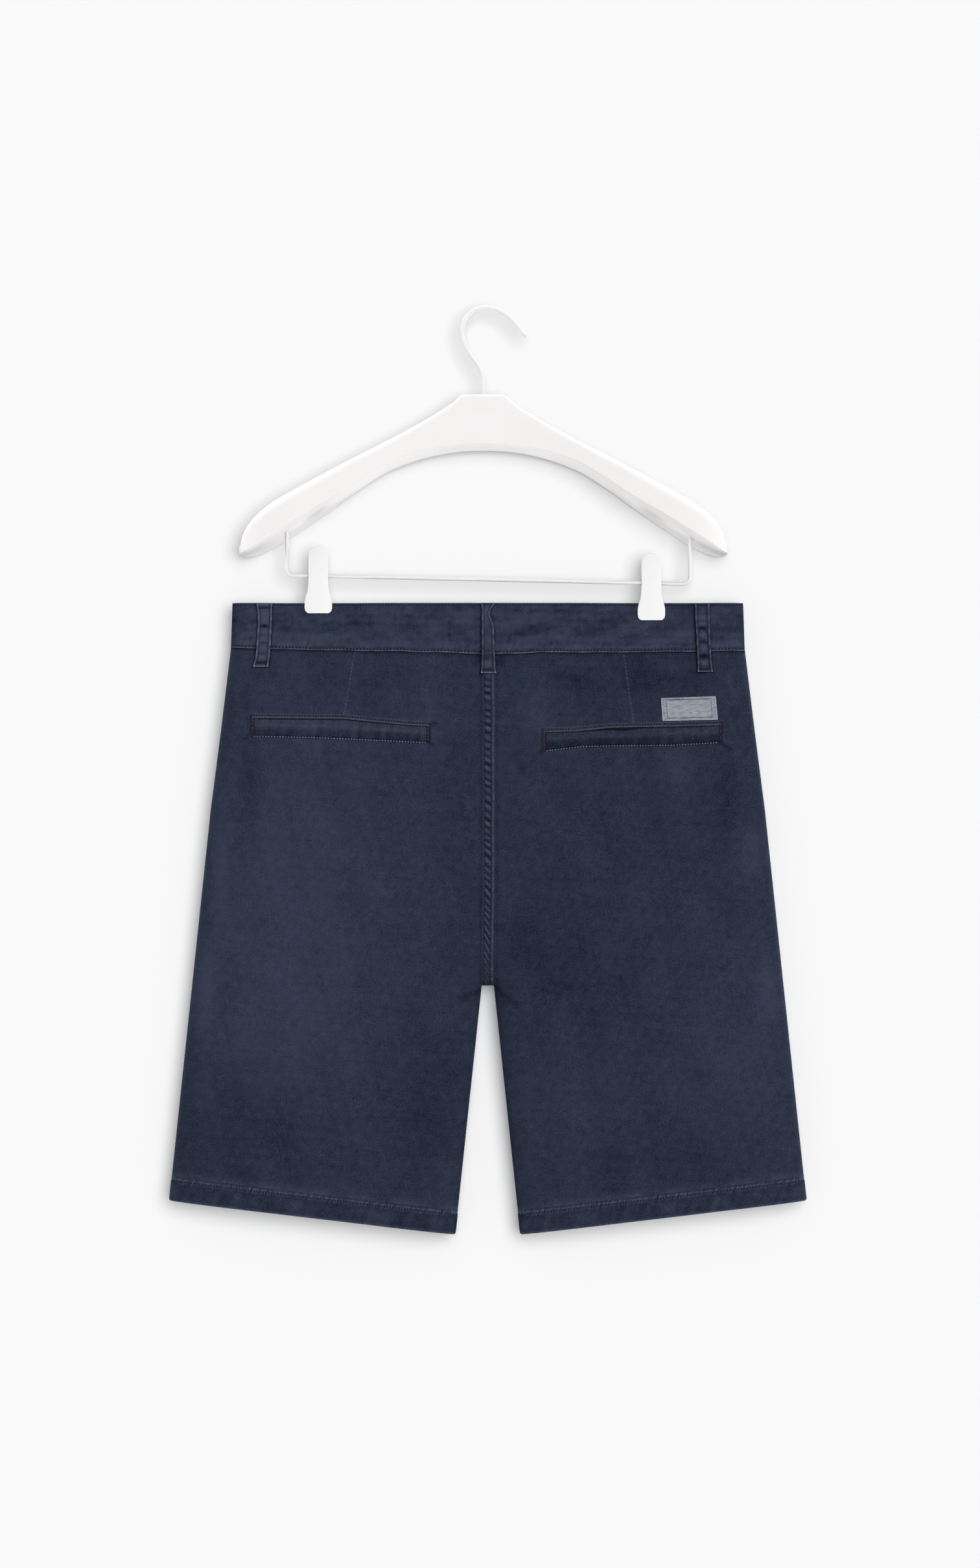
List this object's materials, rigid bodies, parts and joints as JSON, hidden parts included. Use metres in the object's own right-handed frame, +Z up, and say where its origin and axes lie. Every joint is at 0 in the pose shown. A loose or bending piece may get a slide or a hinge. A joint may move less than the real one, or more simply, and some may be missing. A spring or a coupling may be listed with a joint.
{
  "type": "bermuda shorts on a clip hanger",
  "caption": "Knee-length cotton twill bermuda shorts with belt loops and back welt pockets, hung flat by two clips under the bar of a contoured hanger.",
  "frame": {"origin": "where the hook bears, under the top of its wire, in the hanger's middle plane", "axes": "+Z up; the back of the shorts faces -Y and the front +Y; the shorts' left side, as worn, is at -X"},
  "size_m": [0.5512, 0.033, 0.8031],
  "materials": {
    "navy_twill": "matte washed twill",
    "label_cloth": "woven",
    "zip_tape": "woven tape",
    "button_resin": "satin",
    "white_lacquer": "satin white lacquer",
    "white_coated_steel": "satin",
    "white_plastic": "satin"
  },
  "bodies": {
    "root": {"back_left": "navy_twill", "back_right": "navy_twill", "front_left": "navy_twill", "front_right": "navy_twill", "waistband_left": "navy_twill", "waistband_right": "navy_twill", "loop_back_left": "navy_twill", "loop_back_centre": "navy_twill", "loop_back_right": "navy_twill", "loop_front_left": "navy_twill", "loop_front_right": "navy_twill", "welt_left": "navy_twill", "welt_right": "navy_twill", "label": "label_cloth", "fly_zip": "zip_tape", "button": "button_resin", "hanger_body": "white_lacquer", "hanger_hook": "white_coated_steel", "clip_bar": "white_coated_steel", "clip_left_back_jaw": "white_plastic", "clip_left_front_jaw": "white_plastic", "clip_left_barrel": "white_plastic", "clip_right_back_jaw": "white_plastic", "clip_right_front_jaw": "white_plastic", "clip_right_barrel": "white_plastic"}
  },
  "joints": []
}
